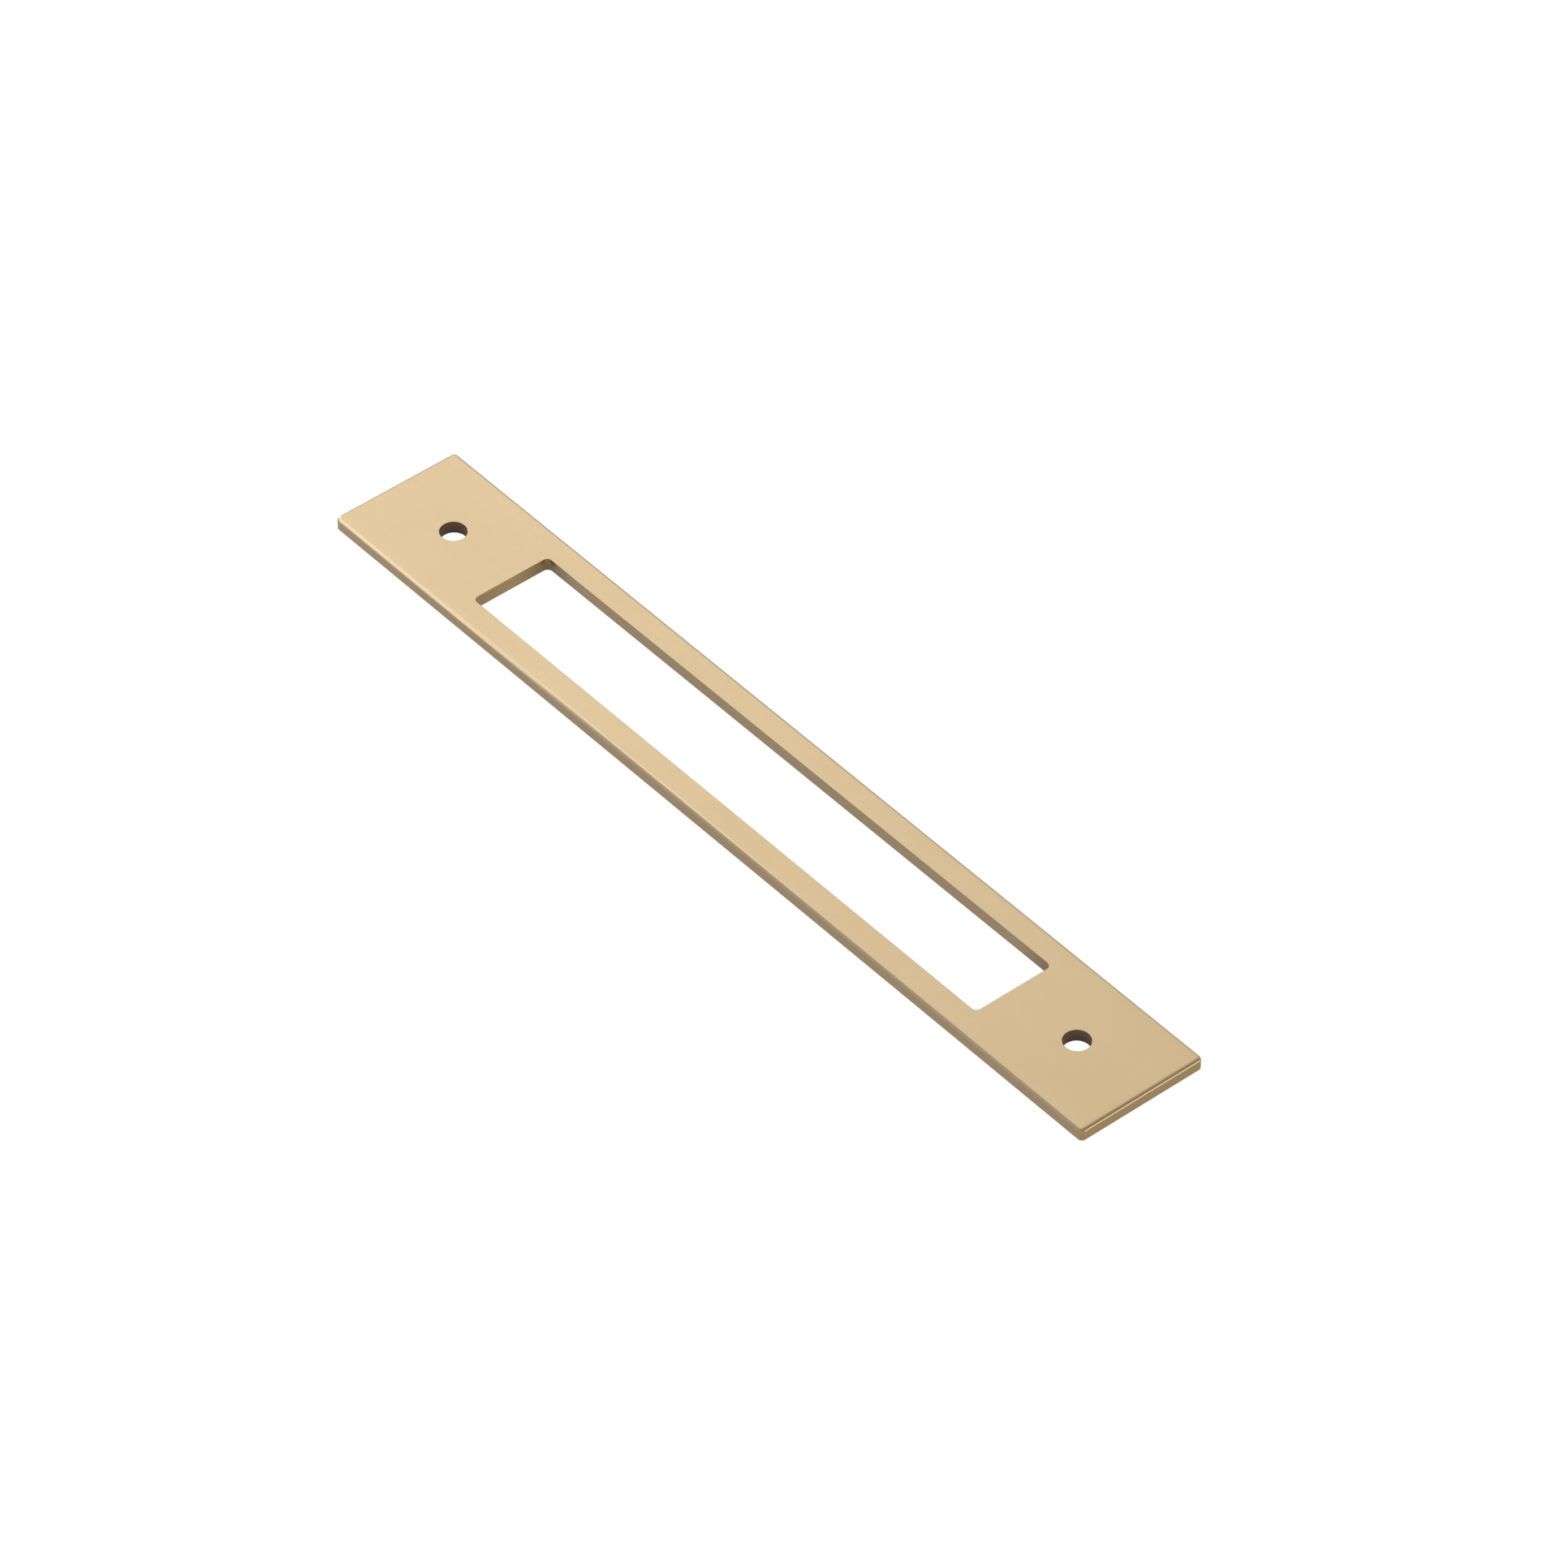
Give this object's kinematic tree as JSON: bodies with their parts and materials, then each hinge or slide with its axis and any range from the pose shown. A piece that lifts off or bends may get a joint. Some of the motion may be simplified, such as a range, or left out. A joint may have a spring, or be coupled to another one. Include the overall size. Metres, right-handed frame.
{
  "type": "pull handle backplate",
  "caption": "Slim satin brass backplate for a bar pull handle, with a round screw hole in each solid end and a long window between them that leaves the door or drawer front showing.",
  "frame": {"origin": "centre of the back face, which lies against the door or drawer front", "axes": "+X along the plate from one screw hole to the other, +Y across it, +Z out of the front face towards the handle"},
  "size_m": [0.1916, 0.026, 0.0025],
  "materials": {
    "satin_brass": "satin, very fine brushing along the plate"
  },
  "bodies": {
    "root": {"backplate": "satin_brass"}
  },
  "joints": []
}
